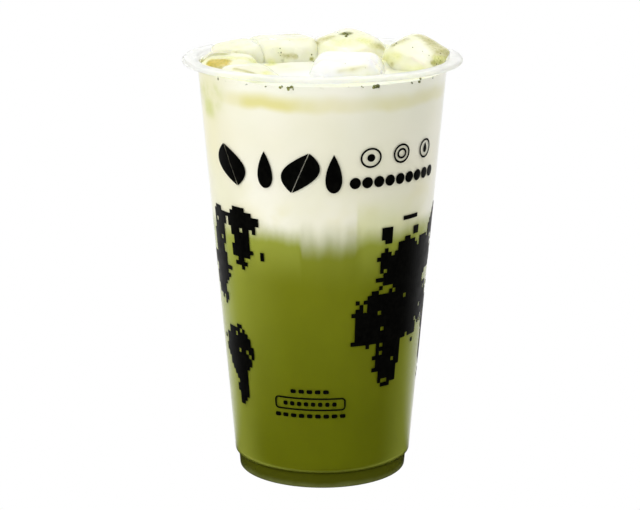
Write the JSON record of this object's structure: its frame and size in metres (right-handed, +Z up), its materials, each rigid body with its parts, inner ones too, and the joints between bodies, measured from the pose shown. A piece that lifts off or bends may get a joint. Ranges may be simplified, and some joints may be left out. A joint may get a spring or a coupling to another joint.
{
  "type": "matcha latte",
  "caption": "Iced matcha latte: milk over green tea, with ice cubes floating at the top, in an open, tapered takeaway cup with a wide rim and a stepped foot.",
  "frame": {"origin": "centre of the cup's foot, on the surface it stands on", "axes": "+Z up along the cup's axis, -Y towards the side with the print and the milk plume, +X to that side's right"},
  "size_m": [0.095, 0.095, 0.1514],
  "materials": {
    "cup_plastic": "slightly milky, see-through polypropylene with a soft gloss",
    "matcha": "cloudy green tea, darker and greener towards the bottom",
    "milk": "cream-coloured milk with green streaks where it meets the tea",
    "ice": "melting ice with a film of milk and stains of green tea",
    "ink": "opaque black ink printed on the outside of the cup"
  },
  "bodies": {
    "root": {"cup": "cup_plastic", "matcha_layer": "matcha", "milk_layer": "milk", "ice_right": "ice", "ice_back": "ice", "ice_centre": "ice", "ice_back_left": "ice", "ice_left": "ice", "ice_front_left": "ice", "ice_far_left": "ice"}
  },
  "joints": []
}
